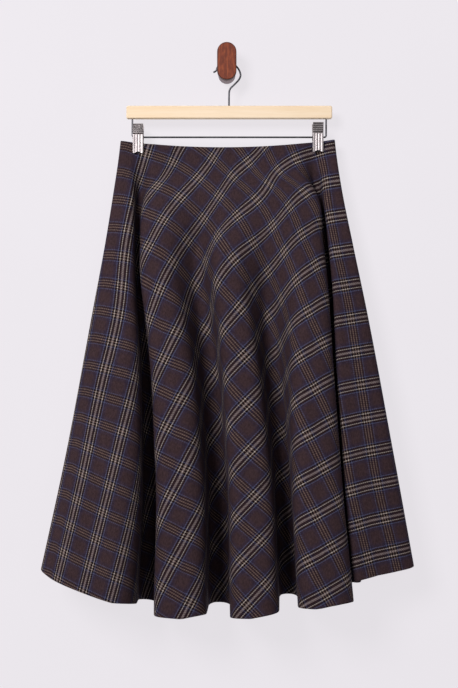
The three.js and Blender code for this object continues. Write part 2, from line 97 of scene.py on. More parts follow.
# name, angle at the waist, angle at the hem, half width, then the heading at each level
FRONT_FOLDS = [
    ("left seam", 0, 0, 0, -90, -92, -96, -100, -104, -108, -110),
    ("left edge", 1.5, 2.2, 0.2, -6, -8, -26, -38, -46, -50, -50),
    ("left panel", 3.6, 7, 1.2, 0, 0, -8, -11, -13, -14, -14),
    ("first fold in", 5.8, 15.8, 1.4, 2, 8, 76, 92, 92, 92, 92),
    ("first fold out", 10.2, 22.8, 1.4, -2, -8, -72, -92, -92, -92, -92),
    ("left lobe", 15, 28, 0.4, 0, 0, -6, -12, -10, -4, -2),
    ("second fold in", 30, 33.6, 1.7, 0, 0, 2, 34, 64, 84, 88),
    ("second fold out", 38, 41.6, 1.7, 0, 0, -4, -50, -74, -87, -91),
    ("middle lobe", 45, 46.9, 0.3, 0, 0, 0, 0, 0, 0, 0),
    ("third fold in", 52, 52.2, 1.7, 0, 0, 0, 18, 60, 83, 87),
    ("third fold out", 60, 59.4, 1.7, 0, 0, 0, -12, -56, -88, -93),
    ("right lobe", 71, 65, 0.4, 0, 0, 6, 10, 10, 6, 4),
    ("last fold in", 78.4, 71.4, 1.3, 2, 10, 88, 97, 102, 106, 107),
    ("last fold out", 81.8, 80.5, 1.3, -2, -10, -80, -93, -101, -105, -107),
    ("right panel", 87, 85.4, 2.2, 0, 0, 4, 8, 12, 14, 15),
    ("right seam", 90, 90, 0, 90, 92, 96, 100, 103, 106, 108),
]
BACK_FOLDS = [
    ("right seam", 90, 90, 0, 90, 92, 96, 100, 103, 106, 108),
    ("right edge", 92.8, 91.9, 0.9, 176, 174, 126, 116, 112, 112, 112),
    ("small fold in", 98, 95.9, 0.8, 180, 180, 180, 186, 206, 232, 242),
    ("small fold out", 101, 99.2, 0.8, 180, 180, 180, 174, 154, 128, 118),
    ("first flat", 103.8, 102.2, 0.3, 180, 180, 180, 180, 180, 180, 180),
    ("first fold in", 111.6, 109.2, 1.7, 180, 180, 208, 234, 254, 266, 268),
    ("first fold out", 118, 115.6, 1.7, 180, 180, 152, 126, 106, 94, 92),
    ("second flat", 125.4, 121.8, 1.4, 180, 180, 180, 180, 180, 180, 180),
    ("second fold in", 134, 128.4, 1.7, 180, 180, 208, 224, 240, 266, 268),
    ("second fold out", 141.4, 135.2, 1.7, 180, 180, 152, 136, 120, 94, 92),
    ("third flat", 149, 141.5, 1.6, 180, 180, 180, 180, 180, 180, 180),
    ("third fold in", 159.4, 148.4, 1.7, 180, 180, 194, 204, 218, 262, 268),
    ("third fold out", 165.4, 155.2, 1.7, 180, 180, 166, 156, 142, 98, 92),
    ("fourth flat", 169.6, 162, 2, 180, 180, 180, 180, 180, 180, 180),
    ("last fold in", 172, 168, 0.8, 180, 180, 180, 182, 206, 250, 262),
    ("last fold out", 173.8, 172.6, 0.8, 180, 180, 180, 178, 154, 110, 98),
    ("last flat", 175.3, 175.4, 0.3, 180, 180, 184, 188, 190, 190, 190),
    ("left edge", 177.8, 178, 0.5, 184, 186, 230, 238, 240, 240, 240),
    ("left seam", 180, 180, 0, 270, 268, 264, 260, 256, 252, 250),
]
FOLD_NARROWING = 0.65
HEM_LENGTHS = np.array([
    (0, 743), (4.5, 760), (10, 783), (18, 785), (28, 804), (37, 796), (46.5, 805), (55, 786),
    (64, 796), (76, 770), (85, 747), (90, 743), (135, 780), (180, 743),
], float)
CLIP_X = (-153.7, 157.9)
PINCH_DEPTH, PINCH_REACH, PINCH_DROP = 3.2, 27, 50
print(len(FRONT_FOLDS), "front stretches,", len(BACK_FOLDS), "back stretches")


# %% [markdown]
# Each table row gives a value at seven levels only. Straight lines between them would leave a kink
# across the cloth at every level, so a smooth cubic joins them, the same one for headings and seams.

# %% Values down the cloth
def through(knots, values, at):
    """Smooth curve through values at knots: on each span, a cubic whose end slopes are the average
    of the slopes of the two spans beside each knot. The last axis of values runs over the knots."""
    knots = np.asarray(knots, float)
    span = np.diff(knots)
    rate = np.diff(values, axis=-1) / span
    slope = np.concatenate([
        rate[..., :1],
        (rate[..., :-1] * span[1:] + rate[..., 1:] * span[:-1]) / (span[:-1] + span[1:]),
        rate[..., -1:],
    ], axis=-1)
    i = np.clip(np.searchsorted(knots, at, side="right") - 1, 0, len(span) - 1)

    def pick(table, k):
        table = np.broadcast_to(table, at.shape + table.shape[-1:])
        return np.take_along_axis(table, k[..., None], axis=-1)[..., 0]

    t = (at - knots[i]) / span[i]
    u = 1 - t
    ends = pick(values, i) * (1 + 2 * t) * u * u + pick(values, i + 1) * t * t * (3 - 2 * t)
    return ends + span[i] * t * u * (pick(slope, i) * u - pick(slope, i + 1) * t)


def along_levels(values, s):
    """The curves through one or more rows of values at the levels, a column for each curve."""
    values = np.atleast_2d(np.asarray(values, float))
    return through(LEVELS, values[None], np.repeat(s[:, None], len(values), axis=1))


every_200 = np.arange(0, LEVELS[-1], 200)
print("left seam's x at every 200 mm:", along_levels(LEFT_SEAM_X, every_200).ravel().round(1))


# %% [markdown]
# In plan, a ring of the skirt is a line that bends. Its heading is known at the ends of every
# straight stretch, so it is eased between them and summed: each small step of arc, as long as in the
# flat cut, goes cos(heading) to the right and sin(heading) towards the wall.

# %% Rings in plan
RING_STEP = 5.0
BEND_COLUMNS, STRAIGHT_COLUMNS, SUB = 14, 5, 4


def knots(folds, s):
    """Angle and heading of each stretch's two ends, a row for each ring. A fold line runs straight
    over the flat cut, so its angle moves with the inverse of the ring's radius."""
    radius = WAIST_RADIUS + s
    hem = 1 / (WAIST_RADIUS + LEVELS[-1])
    top = ((1 / radius - hem) / (1 / WAIST_RADIUS - hem))[:, None]
    at_waist, at_hem, half = (np.array([f[k] for f in folds], float) for k in (1, 2, 3))
    middle = at_hem + (at_waist - at_hem) * top
    wide = half * (1 - FOLD_NARROWING * top)
    heading = along_levels([f[4:] for f in folds], s)
    sides = [(i, side) for i, f in enumerate(folds) for side in ((-1, 1) if f[3] else (0,))]
    row = np.array([i for i, _ in sides])
    side = np.array([k for _, k in sides])
    straight = row[1:] == row[:-1]
    return middle[:, row] + side * wide[:, row], heading[:, row], straight


def rings(folds, s):
    """Plan of each ring. Its heading eases from knot to knot on a cubic with level ends at turning
    points, and x and y are the running sums of the heading's cosine and sine times the arc."""
    angle, heading, straight = knots(folds, s)
    step = np.diff(angle, axis=1)
    rate = np.diff(heading, axis=1) / step
    both = rate[:, 1:] * rate[:, :-1]
    slope = np.zeros_like(heading)
    slope[:, 1:-1] = np.where(both > 0, 2 * both / np.where(both > 0, rate[:, 1:] + rate[:, :-1], 1), 0)
    slope[:, 0], slope[:, -1] = rate[:, 0], rate[:, -1]
    count = np.where(straight, STRAIGHT_COLUMNS, BEND_COLUMNS) * SUB
    k = np.repeat(np.arange(len(count)), count)
    first = np.repeat(np.cumsum(count) - count, count)
    u = (np.arange(len(k)) - first + 0.5) / count[k]
    v = 1 - u
    h = heading[:, k] * (1 + 2 * u) * v * v + heading[:, k + 1] * u * u * (3 - 2 * u)
    h = (h + step[:, k] * u * v * (slope[:, k] * v - slope[:, k + 1] * u)) * DEG
    turn = step[:, k] / count[k]
    arc = turn * DEG * (WAIST_RADIUS + s)[:, None]

    def running(values):
        return np.concatenate([np.zeros((len(s), 1)), np.cumsum(values, axis=1)], axis=1)[:, ::SUB]

    return angle[:, :1] + running(turn), running(np.cos(h) * arc), running(np.sin(h) * arc)


print("rings every", RING_STEP, "mm, with", BEND_COLUMNS, "columns to a bend")


# %% [markdown]
# The rings now hang under each other. Each is first widened or narrowed to reach from seam to seam,
# and that costs it length where the table's folds are too shallow: little in most of the front, up
# to a fifth in the back, which isn't seen. Lines down the cloth do keep their length. Where a ring
# also moves sideways or outwards from the one above, it can't drop as far, and Pythagoras gives what
# is left for the drop.

# %% A panel as it hangs
ROWS_PAST_HEM = 5
LEAST_DROP = 0.05


def panel(folds, is_front):
    """Middle surface of a panel as it hangs, rings by columns: the ring is fitted between the two
    seams, pressed by the clips, and each ring hangs under the one above by what is left of the
    cloth's length between them once its sideways travel is taken off."""
    s = np.arange(0, LEVELS[-1] + ROWS_PAST_HEM * RING_STEP, RING_STEP)
    left = np.hstack([along_levels(LEFT_SEAM_X, s), along_levels(LEFT_SEAM_Y, s)])
    right = np.hstack([along_levels(RIGHT_SEAM_X, s), along_levels(RIGHT_SEAM_Y, s)])
    start, end = (left, right) if is_front else (right, left)
    angle, x, y = rings(folds, s)
    share = (angle - angle[:, :1]) / (angle[:, -1:] - angle[:, :1])
    x = start[:, :1] + x * (end[:, :1] - start[:, :1]) / x[:, -1:]
    y = start[:, 1:] + y + (end[:, 1:] - start[:, 1:] - y[:, -1:]) * share
    away = np.minimum(1, np.abs(x[..., None] - np.array(CLIP_X)) / PINCH_REACH)
    press = ((1 - away ** 2) ** 2).sum(-1) * PINCH_DEPTH * np.exp(-(s / PINCH_DROP) ** 2)[:, None]
    y = y + press * (1 if is_front else -1)
    across = np.clip((x[0] - LEFT_SEAM_X[0]) / (RIGHT_SEAM_X[0] - LEFT_SEAM_X[0]), 0, 1)
    top = WAIST_LEFT_Z + (WAIST_RIGHT_Z - WAIST_LEFT_Z) * across - WAIST_SAG * 4 * across * (1 - across)
    radius = WAIST_RADIUS + (s[1:, None] + s[:-1, None]) / 2
    along = radius * np.diff(angle, axis=0) * DEG
    left_over = RING_STEP ** 2 + along ** 2 - np.diff(x, axis=0) ** 2 - np.diff(y, axis=0) ** 2
    fall = np.sqrt(np.maximum(left_over, LEAST_DROP * RING_STEP ** 2))
    z = top - np.concatenate([np.zeros((1, x.shape[1])), np.cumsum(fall, axis=0)])
    return s, angle, np.stack([x, y, z], axis=-1)


hung = {"front": panel(FRONT_FOLDS, True), "back": panel(BACK_FOLDS, False)}
for name, (s, angle, points) in hung.items():
    flat = (angle[:, -1] - angle[:, 0]) * DEG * (WAIST_RADIUS + s)
    share = np.linalg.norm(np.diff(points, axis=1), axis=-1).sum(axis=1) / flat
    print(name, len(s), "rings,", share.min().round(2), "to", share.max().round(2), "of their flat length")


# %% [markdown]
# The hem isn't at one distance below the waist. Wool drops more where it hangs on the slant, so the
# photo shows long and short places, and a list of lengths gives them. Each column of points ends at
# its own length. Its rows are shared out down to there, close together over the turned edge at the
# waist and over the turned-up hem, where the wall's thickness changes within a few millimetres.

# %% Rows down to the hem
WAIST_ROWS = [0, 0.0006, 0.0016, 0.0035]
MIDDLE_ROWS = np.linspace(0.0075, 0.972, 132)
HEM_ROWS = [0.9775, 0.9815, 0.9835, 0.9848, 0.9858, 0.988, 0.992, 0.996, 0.9984, 0.9994, 1]
shares = np.concatenate([WAIST_ROWS, MIDDLE_ROWS, HEM_ROWS])


def cut_to_hem(s, angle, points, shares):
    """Rows of the panel at the given shares of the way from the waist to the hem's own line, with
    the place of each point in the flat cut: distance below the waist and angle."""
    at_hem = angle[np.argmin(np.abs(s - LEVELS[-1]))]
    length = np.interp(at_hem, *HEM_LENGTHS.T)
    down = shares[:, None] * length[None, :]
    i = np.minimum((down / RING_STEP).astype(int), len(s) - 2)
    t = down / RING_STEP - i
    j = np.arange(points.shape[1])[None, :]
    mixed = points[i, j] * (1 - t[..., None]) + points[i + 1, j] * t[..., None]
    turned = angle[i, j] * (1 - t) + angle[i + 1, j] * t
    return down, turned, mixed, length


surfaces = {name: cut_to_hem(*grid, shares) for name, grid in hung.items()}
for name, (_, _, points, _) in surfaces.items():
    print(name, "has", len(points), "rows, and its lowest hem is at z", points[-1, :, 2].min().round(1))


# %% [markdown]
# Wool cut on the slant stretches as it hangs, and the rings above aren't all of their flat length,
# so a plaid laid straight on the cut would be a few centimetres off in places. Two tables move it in
# the cut's own directions to where the photo has it. They are for the front, which is the side that
# is seen: a column for each angle in degrees and a row for each distance below the waist, in mm.

# %% Where the plaid has moved
SHIFT_ANGLES = [3, 9, 26, 37, 46, 55, 65, 85]
SHIFT_LEVELS = [60, 180, 300, 430, 600, 750]
WARP_SHIFT = np.array([
    (-24, -30, -24, -27, -18, -18, -4, 0),
    (-30, -31, -22, -26, -17, -20, -4, -6),
    (-44, -45, -14, -24, -23, -22, -9, -8),
    (-44, -41, -6, -20, -20, -21, -14, -4),
    (-52, -38, -4, -16, -18, -16, -20, 2),
    (-54, -40, -8, -15, -18, -16, -22, 4),
], float)
WEFT_SHIFT = np.array([
    (42, 39, 42, 41, 39, 35, 25, 21),
    (37, 38, 42, 40, 37, 34, 23, 14),
    (33, 30, 22, 29, 25, 28, 16, 13),
    (35, 28, 13, 21, 7, 20, 15, 7),
    (50, 29, 7, 6, -4, 11, 10, 0),
    (58, 36, 15, 12, 7, 5, 4, 4),
], float)


def cut_shift(angle, down):
    """How far the warp and the weft have moved at each point: a smooth curve down each column of
    the table, then a smooth curve across those values at the point's angle."""
    at = np.clip(down, SHIFT_LEVELS[0], SHIFT_LEVELS[-1])
    columns = [
        np.stack([through(SHIFT_LEVELS, table[:, k], at) for k in range(len(SHIFT_ANGLES))], -1)
        for table in (WARP_SHIFT, WEFT_SHIFT)
    ]
    across = np.clip(angle, SHIFT_ANGLES[0], SHIFT_ANGLES[-1])
    return [through(SHIFT_ANGLES, table, across) for table in columns]


print("warp moves by up to", np.abs(WARP_SHIFT).max(), "mm, weft by", np.abs(WEFT_SHIFT).max(), "mm")


# %% [markdown]
# A surface isn't cloth yet: wool cloth is a wall about a millimetre and a half thick. The wall's two
# faces are the surface moved along its normals, and a strip of faces round the edge closes it. A
# modifier could do the same, but it would give one thickness everywhere, and cloth is thinner or
# thicker at its edges. The wall's own mesh also keeps the place in the flat cut as a UV map.

# %% Closed wall between two grids
CLOTH = 1.6


def grid_normals(points):
    """Unit normals of a grid: the slope down the rows crossed with the slope along them."""
    down = np.gradient(points, axis=0)
    across = np.gradient(points, axis=1)
    normal = np.cross(down, across)
    return normal / np.linalg.norm(normal, axis=-1, keepdims=True)


def wall_mesh(name, outer, inner, uv):
    """Closed mesh between two grids of the same size: both faces and the strip round the edge."""
    rows, cols = outer.shape[:2]
    a = np.arange(rows * cols).reshape(rows, cols)
    b = a + rows * cols
    faces = [np.stack([a[:-1, :-1], a[1:, :-1], a[1:, 1:], a[:-1, 1:]], -1).reshape(-1, 4)]
    faces.append(np.stack([b[:-1, :-1], b[:-1, 1:], b[1:, 1:], b[1:, :-1]], -1).reshape(-1, 4))
    for p, q in ((a[:, 0], b[:, 0]), (b[:, -1], a[:, -1]), (b[0], a[0]), (a[-1], b[-1])):
        faces.append(np.stack([p[:-1], q[:-1], q[1:], p[1:]], -1))
    faces = np.concatenate(faces)
    mesh = bpy.data.meshes.new(name)
    corners = np.concatenate([outer.reshape(-1, 3), inner.reshape(-1, 3)]) * MM
    mesh.from_pydata(corners, [], faces.tolist())
    flat = np.concatenate([uv.reshape(-1, 2)] * 2)[faces.reshape(-1)]
    mesh.uv_layers.new(name="cut").data.foreach_set("uv", flat.reshape(-1))
    mesh.polygons.foreach_set("use_smooth", np.ones(len(faces), bool))
    mesh.update()
    piece = bpy.data.objects.new(name, mesh)
    bpy.context.collection.objects.link(piece)
    return piece


print("cloth", CLOTH, "mm thick")


# %% [markdown]
# Each panel's wall thins towards the turned edge at the waist and hem, dips at the side seams where
# the two panels are sewn, and is thicker on the inside for the last 12 mm above the hem, where the
# edge is turned up. Its place in the flat cut is worked out from the angle and the distance below
# the waist, so the plaid lies on the cloth the way the weaver and the cutter left it.

# %% Two panels of cloth
EDGE_ROUNDING, EDGE_LEAST = 1.2, 0.06
SEAM_DIP, SEAM_DIP_WIDTH = 0.55, 2.2
HEM_TURN, HEM_LAYER, HEM_STEP = 12.0, 0.9, 1.2


def cloth_piece(name, surface, is_front):
    """Wall of a panel. Its half thickness is full away from the edges, a quarter at the waist and
    hem edges, and its inner face stands one more layer proud over the turned-up hem."""
    down, angle, points, length = surface
    normal = grid_normals(points)
    edge = np.minimum(down, length[None, :] - down)
    rounding = np.sqrt(np.clip(edge / EDGE_ROUNDING, EDGE_LEAST, 1))
    radius = WAIST_RADIUS + down
    near_seam = np.minimum(angle - angle[:, :1], angle[:, -1:] - angle) * DEG * radius
    dip = SEAM_DIP * np.exp(-(near_seam / SEAM_DIP_WIDTH) ** 2)
    turn = np.clip((HEM_TURN + HEM_STEP / 2 - (length[None, :] - down)) / HEM_STEP, 0, 1)
    outer = points + normal * (CLOTH / 2 * rounding - dip)[..., None]
    inner = points - normal * (CLOTH / 2 * rounding + HEM_LAYER * turn * rounding)[..., None]
    theta = (angle if is_front else 180 - angle) * DEG
    warp_shift, weft_shift = cut_shift(angle, down) if is_front else (0, 0)
    uv = np.stack([radius * np.sin(theta) + warp_shift, radius * np.cos(theta) + weft_shift], -1) * MM
    return wall_mesh(name, outer, inner, uv)


front = cloth_piece("skirt_front_cloth", surfaces["front"], True)
back = cloth_piece("skirt_back_cloth", surfaces["back"], False)
print("made", front.name, "and", back.name)


# %% [markdown]
# Each wall rides on the root body, and the piece of the CAD model that it takes the place of is hidden.
# The side of the square that a panel is cut from is worked out too, and nothing uses it.


for piece, node, key in ((front, "skirt_front", "front"), (back, "skirt_back", "back")):
    side = (WAIST_RADIUS + float(surfaces[key][3].max())) * MM
    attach(piece, "root")
    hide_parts(node)


# %% [markdown]
# Each finish is a small network of nodes. Writing the nodes one by one is long, so a few helpers
# make a node, join it and hand back its output. The patterns are worked out from the piece's own
# coordinates, so they stay on the piece from every side.

# %% Helpers for materials
class Net:
    """A material's nodes. Most helpers return an output socket, to use in the next node."""

    def __init__(self, name, **shader):
        self.material = bpy.data.materials.new(name)
        self.material.use_nodes = True
        self.tree = self.material.node_tree
        self.shader = self.tree.nodes["Principled BSDF"]
        for key, value in shader.items():
            self.shader.inputs[key.replace("_", " ")].default_value = value

    def node(self, kind, **settings):
        made = self.tree.nodes.new(kind)
        for key, value in settings.items():
            setattr(made, key, value)
        return made

    def join(self, value, socket):
        if isinstance(value, bpy.types.NodeSocket):
            self.tree.links.new(value, socket)
        else:
            socket.default_value = value

    def math(self, operation, *values):
        made = self.node("ShaderNodeMath", operation=operation)
        for value, socket in zip(values, made.inputs):
            self.join(value, socket)
        return made.outputs[0]

    def mix(self, share, a, b, blend="MIX"):
        made = self.node("ShaderNodeMix", data_type="RGBA", blend_type=blend)
        self.join(share, made.inputs[0])
        self.join(a, made.inputs[6])
        self.join(b, made.inputs[7])
        return made.outputs[2]

    def smooth(self, value, low, high):
        made = self.node("ShaderNodeMapRange", interpolation_type="SMOOTHSTEP")
        for k, v in enumerate((value, low, high)):
            self.join(v, made.inputs[k])
        return made.outputs[0]

    def noise(self, vector, scale, detail=2.0, rough=0.5):
        made = self.node("ShaderNodeTexNoise")
        self.join(vector, made.inputs["Vector"])
        for key, value in (("Scale", scale), ("Detail", detail), ("Roughness", rough)):
            made.inputs[key].default_value = value
        return made.outputs["Fac"]

    def stretch(self, vector, scale):
        made = self.node("ShaderNodeMapping")
        self.join(vector, made.inputs["Vector"])
        made.inputs["Scale"].default_value = scale
        return made.outputs[0]

    def ramp(self, value, stops):
        made = self.node("ShaderNodeValToRGB")
        self.join(value, made.inputs[0])
        band = made.color_ramp.elements
        while len(band) < len(stops):
            band.new(0.5)
        for element, (place, colour) in zip(band, stops):
            element.position = place
            element.color = (*colour, 1)
        return made.outputs[0]

    def bump(self, height, distance, strength=1.0):
        made = self.node("ShaderNodeBump")
        self.join(height, made.inputs["Height"])
        made.inputs["Distance"].default_value = distance
        made.inputs["Strength"].default_value = strength
        self.join(made.outputs[0], self.shader.inputs["Normal"])


print("a Net can make:", ", ".join(name for name in vars(Net) if not name.startswith("_")))


def srgb(r, g, b):
    """Screen colour from 0 to 255 to the linear values that a shader takes."""
    c = np.array([r, g, b]) / 255
    return tuple(np.where(c <= 0.04045, c / 12.92, ((c + 0.055) / 1.055) ** 2.4))


# %% [markdown]
# The wool is woven in a plaid. Two sets of threads cross: the warp carries a wide band of blue,
# beige and taupe lines every 58 mm, and the weft a narrower one of blue, tan and camel lines every
# 47 mm. Threads go over and under each other in a fine twill, so each crossing shows one set or the
# other. A band is the same on both sides of its middle, so a table of half of it is enough.

# %% Bands of the plaid
WARP_REPEAT, WARP_START = 58.3, 20.1
WEFT_REPEAT, WEFT_START = 47.2, 6.6
THREAD = 0.9
BROWN = srgb(60, 45, 48)
BLACK_BROWN = srgb(21, 14, 17)
NAVY = srgb(46, 40, 59)
BLUE = srgb(82, 89, 121)
BEIGE = srgb(170, 159, 150)
TAUPE = srgb(133, 120, 118)
TAN = srgb(132, 114, 102)
CAMEL = srgb(130, 108, 96)
FLECK = srgb(206, 194, 186)
# Each line: its middle from the band's middle, half width and soft edge in mm, then its colour
WARP_LINES = [
    (14.8, 2.6, 4.2, NAVY), (12.0, 0.65, 0.8, BLUE), (9.6, 1.5, 0.5, BLACK_BROWN),
    (7.0, 0.62, 0.4, BEIGE), (4.3, 1.7, 0.5, BLACK_BROWN), (0.0, 1.7, 0.6, TAUPE),
]
WEFT_LINES = [
    (12.2, 2.4, 3.8, NAVY), (9.2, 0.6, 0.8, BLUE), (6.8, 1.0, 0.5, BLACK_BROWN),
    (4.5, 0.6, 0.4, TAN), (2.3, 1.1, 0.5, BLACK_BROWN), (0.0, 0.8, 0.4, CAMEL),
]
WARP_SIDE_LINE, WARP_LINE_REACH = 7.0, 1.3
WEFT_SIDE_LINE, WEFT_LINE_REACH = 4.5, 1.1
print(len(WARP_LINES), "lines in half a warp band,", len(WEFT_LINES), "in half a weft band")


# %% [markdown]
# In the nodes, p and q are a point's place in the flat cut, in mm, across the warp and across the
# weft. Each set of threads gets its colour from how far the point is from the middle of its nearest
# band. The twill then picks between the two sets, thread by thread.

# %% Threads that cross
def far_from_band(net, place, start, repeat):
    """Distance to the middle of the nearest band: | wrap(place - start + repeat/2) - repeat/2 |."""
    shifted = net.math("SUBTRACT", place, start - repeat / 2)
    wrapped = net.math("WRAP", shifted, repeat, 0.0)
    return net.math("ABSOLUTE", net.math("SUBTRACT", wrapped, repeat / 2))


def light_lines(net, d, side, reach):
    """1 on a band's two side lines, 0.6 on its middle line, 0 beyond reach of each."""
    beside = net.smooth(net.math("ABSOLUTE", net.math("SUBTRACT", d, side)), reach, reach / 3)
    return net.math("MAXIMUM", beside, net.math("MULTIPLY", net.smooth(d, reach, reach / 3), 0.6))


def stripes(net, place, start, repeat, lines):
    """Colour of a set of threads: d is the distance to the middle of the nearest band, and each
    line (middle, half width, soft edge, colour) is laid over the ground where d is near it."""
    d = far_from_band(net, place, start, repeat)
    colour = (*BROWN, 1)
    for middle, half, soft, tint in lines:
        off = net.math("ABSOLUTE", net.math("SUBTRACT", d, middle))
        share = net.smooth(off, half + soft, half - soft)
        colour = net.mix(share, colour, (*tint, 1))
    return colour


def crossed(net, p, q, i, j):
    """Colour where the two sets cross. A two-over-two twill moves on by one thread in each row: the
    sum of the thread numbers i and j, counted in fours, says which set is on top and gives most of
    the colour. Where two light lines meet there is a lighter fleck."""
    warp = stripes(net, p, WARP_START, WARP_REPEAT, WARP_LINES)
    weft = stripes(net, q, WEFT_START, WEFT_REPEAT, WEFT_LINES)
    diagonal = net.math("ADD", net.math("FLOOR", i), net.math("FLOOR", j))
    twill = net.math("WRAP", diagonal, 4.0, 0.0)
    over = net.smooth(twill, 2.2, 1.2)
    share = net.math("MULTIPLY_ADD", over, 0.6, 0.1)
    cloth = net.mix(share, warp, weft)
    from_warp = far_from_band(net, p, WARP_START, WARP_REPEAT)
    from_weft = far_from_band(net, q, WEFT_START, WEFT_REPEAT)
    light_warp = light_lines(net, from_warp, WARP_SIDE_LINE, WARP_LINE_REACH)
    light_weft = light_lines(net, from_weft, WEFT_SIDE_LINE, WEFT_LINE_REACH)
    crossing = net.math("MULTIPLY", light_warp, light_weft)
    return net.mix(net.math("MULTIPLY", crossing, 0.6), cloth, (*FLECK, 1))


print("threads every", THREAD, "mm")


# %% [markdown]
# Brushed wool isn't one flat tone. Its fibres stand up as a fine fuzz, the yarn is spun from lighter
# and darker wool, and the cloth is a little uneven over a hand's breadth. Three noises of falling
# size do that and darken the plaid by their product, and the thread crowns with the fuzz on top
# raise the surface. A faint sheen gives the soft light that wool has at its edges.

# %% Plaid wool
def wool_shade(net):
    """Grey from fuzz, heathered yarn and broad patches, multiplied; the fuzz is handed back too."""
    position = net.node("ShaderNodeTexCoord").outputs["Object"]
    fuzz = net.noise(position, 900.0, 3.0, 0.65)
    heather = net.noise(net.stretch(position, (1.0, 1.0, 0.55)), 420.0, 4.0, 0.7)
    patches = net.noise(position, 14.0, 3.0, 0.6)
    yarn = net.math("MULTIPLY_ADD", net.smooth(heather, 0.3, 0.7), 0.5, 0.72)
    shade = net.math("MULTIPLY", net.math("MULTIPLY_ADD", fuzz, 0.35, 0.78), yarn)
    shade = net.math("MULTIPLY", shade, net.math("MULTIPLY_ADD", patches, 0.2, 0.93))
    grey = net.node("ShaderNodeCombineColor")
    for socket in grey.inputs:
        net.join(shade, socket)
    return grey.outputs[0], fuzz


def plaid():
    """Wool cloth: the crossed threads darkened by the wool's own shade. Each thread is raised by
    |sin(pi i)| |sin(pi j)|, with the fuzz added."""
    net = Net("plaid_wool", Roughness=0.92, Sheen_Weight=0.04, Sheen_Roughness=0.4)
    net.shader.inputs["Specular IOR Level"].default_value = 0.05
    net.shader.inputs["Sheen Tint"].default_value = (0.5, 0.38, 0.52, 1)
    parts = net.node("ShaderNodeSeparateXYZ")
    net.join(net.node("ShaderNodeUVMap", uv_map="cut").outputs[0], parts.inputs[0])
    p, q = (net.math("MULTIPLY", parts.outputs[k], 1 / MM) for k in (0, 1))
    i, j = (net.math("DIVIDE", place, THREAD) for place in (p, q))
    cloth = crossed(net, p, q, i, j)
    grey, fuzz = wool_shade(net)
    net.join(net.mix(1.0, cloth, grey, "MULTIPLY"), net.shader.inputs["Base Color"])
    net.join(net.math("MULTIPLY_ADD", fuzz, 0.1, 0.86), net.shader.inputs["Roughness"])
    crown_i, crown_j = (
        net.math("ABSOLUTE", net.math("SINE", net.math("MULTIPLY", place, np.pi))) for place in (i, j)
    )
    crowns = net.math("MULTIPLY", crown_i, crown_j)
    height = net.math("ADD", net.math("MULTIPLY", crowns, 0.6), net.math("MULTIPLY", fuzz, 0.5))
    net.bump(height, 0.00022, 0.5)
    return net.material


wool = plaid()
for piece in (front, back):
    piece.data.materials.append(wool)
print("plaid made with", len(wool.node_tree.nodes), "nodes")


# %% [markdown]
# The hanger's bar is pale birch. Birch has a fine straight grain along its length, so noise is
# stretched along X to draw the fibres and a wider, softer noise gives the growth bands.

# %% Birch
def birch():
    """Pale wood: two noises stretched along the bar, in three close tones, with fine pores."""
    net = Net("birch", Roughness=0.55)
    net.shader.inputs["Specular IOR Level"].default_value = 0.35
    at = net.node("ShaderNodeTexCoord").outputs["Object"]
    bands = net.noise(net.stretch(at, (2.5, 40, 60)), 1.0, 3.0, 0.55)
    fibres = net.noise(net.stretch(at, (30, 900, 1300)), 1.0, 4.0, 0.6)
    tones = [(0.3, srgb(246, 218, 180)), (0.52, srgb(251, 227, 195)), (0.75, srgb(254, 234, 207))]
    base = net.ramp(bands, tones)
    streak = net.ramp(fibres, [(0.35, (0.94, 0.92, 0.88)), (0.6, (1, 1, 1))])
    net.join(net.mix(1.0, base, streak, "MULTIPLY"), net.shader.inputs["Base Color"])
    net.join(net.math("MULTIPLY_ADD", fibres, 0.2, 0.45), net.shader.inputs["Roughness"])
    net.bump(fibres, 0.0001, 0.4)
    return net.material


looks = {"birch": birch()}
print("birch made with", len(looks["birch"].node_tree.nodes), "nodes")


# %% [markdown]
# The peg's cap is a red-brown wood whose grain stands upright and is mottled. Its edge is darker, so the
# colour also follows the distance from the middle line of the cap's own outline, a stadium. The post
# behind it is a plain turned dowel, coloured grey mauve.

# %% Peg's wood and paint
def red_wood(centre_z, half_height, half_width):
    """Red-brown wood with upright mottled grain. Its rim is darker: r, the distance from the middle
    line of the stadium, is sqrt(x^2 + up^2), where up is how far a place is past the line's end."""
    net = Net("red_wood", Roughness=0.5)
    net.shader.inputs["Specular IOR Level"].default_value = 0.25
    at = net.node("ShaderNodeTexCoord").outputs["Object"]
    grain = net.noise(net.stretch(at, (420, 420, 45)), 1.0, 4.0, 0.65)
    mottle = net.noise(net.stretch(at, (160, 160, 60)), 1.0, 3.0, 0.6)
    tones = [(0.3, srgb(80, 30, 14)), (0.5, srgb(132, 58, 28)), (0.72, srgb(172, 92, 50))]
    base = net.ramp(grain, tones)
    base = net.mix(net.smooth(mottle, 0.35, 0.7), base, (*srgb(102, 40, 18), 1))
    parts = net.node("ShaderNodeSeparateXYZ")
    net.join(at, parts.inputs[0])
    from_centre = net.math("ABSOLUTE", net.math("SUBTRACT", parts.outputs[2], centre_z))
    up = net.math("MAXIMUM", net.math("SUBTRACT", from_centre, half_height - half_width), 0.0)
    squares = net.math("ADD", net.math("POWER", up, 2.0), net.math("POWER", parts.outputs[0], 2.0))
    rim = net.smooth(net.math("SQRT", squares), half_width * 0.86, half_width * 0.98)
    colour = net.mix(net.math("MULTIPLY", rim, 0.75), base, (*srgb(52, 22, 16), 1))
    net.join(colour, net.shader.inputs["Base Color"])
    net.join(net.math("MULTIPLY_ADD", grain, 0.25, 0.36), net.shader.inputs["Roughness"])
    net.bump(grain, 0.00015, 0.5)
    return net.material


